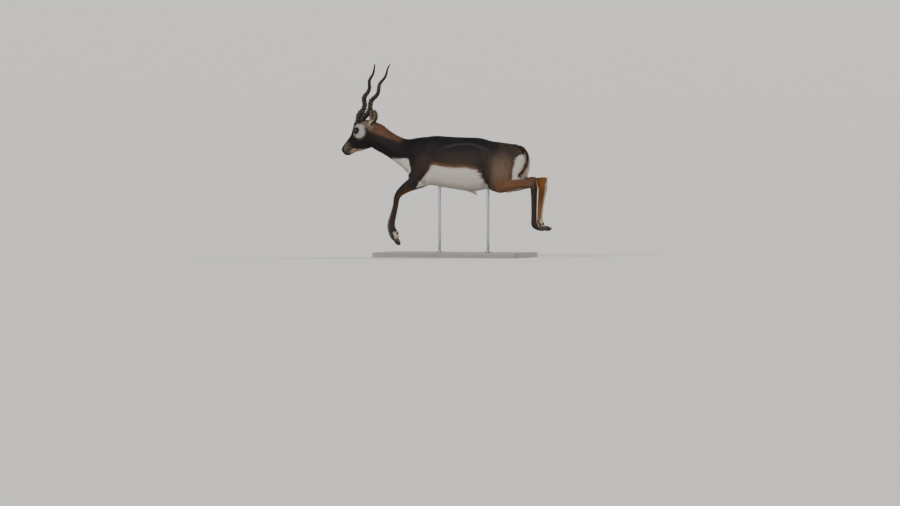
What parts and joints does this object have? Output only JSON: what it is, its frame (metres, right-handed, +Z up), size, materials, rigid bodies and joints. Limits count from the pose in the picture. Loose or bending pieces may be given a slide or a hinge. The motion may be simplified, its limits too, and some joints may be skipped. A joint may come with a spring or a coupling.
{
  "type": "blackbuck model",
  "caption": "Life-size still model of a leaping male blackbuck with corkscrew horns, held over a flat display base by short rods, made to stand on a floor",
  "frame": {"origin": "centre of the underside of the stand's base", "axes": "+Z up, the animal faces -X, its left side is -Y"},
  "size_m": [1.3566, 0.44, 1.2007],
  "materials": {
    "coat": "short black-brown coat with white belly, chest, eye rings and rump",
    "horn": "ringed dark keratin",
    "hoof": "smooth black keratin",
    "eye": "wet dark eye",
    "stand_base": "plain satin grey plate",
    "stand_rod": "brushed steel"
  },
  "bodies": {
    "root": {"head": "coat", "neck": "coat", "torso": "coat", "tail": "coat", "ear_left": "coat", "eye_left": "eye", "horn_left": "horn", "foreleg_left_upper": "coat", "foreleg_left_lower": "coat", "hindleg_left_thigh": "coat", "hindleg_left_shank": "coat", "hindleg_left_cannon": "coat", "foreleg_left_claw_left": "hoof", "foreleg_left_claw_right": "hoof", "hindleg_left_claw_left": "hoof", "hindleg_left_claw_right": "hoof", "ear_right": "coat", "eye_right": "eye", "horn_right": "horn", "foreleg_right_upper": "coat", "foreleg_right_lower": "coat", "hindleg_right_thigh": "coat", "hindleg_right_shank": "coat", "hindleg_right_cannon": "coat", "foreleg_right_claw_left": "hoof", "foreleg_right_claw_right": "hoof", "hindleg_right_claw_left": "hoof", "hindleg_right_claw_right": "hoof", "stand_base": "stand_base", "stand_rod_front": "stand_rod", "stand_collar_front": "stand_rod", "stand_rod_rear": "stand_rod", "stand_collar_rear": "stand_rod"}
  },
  "joints": []
}
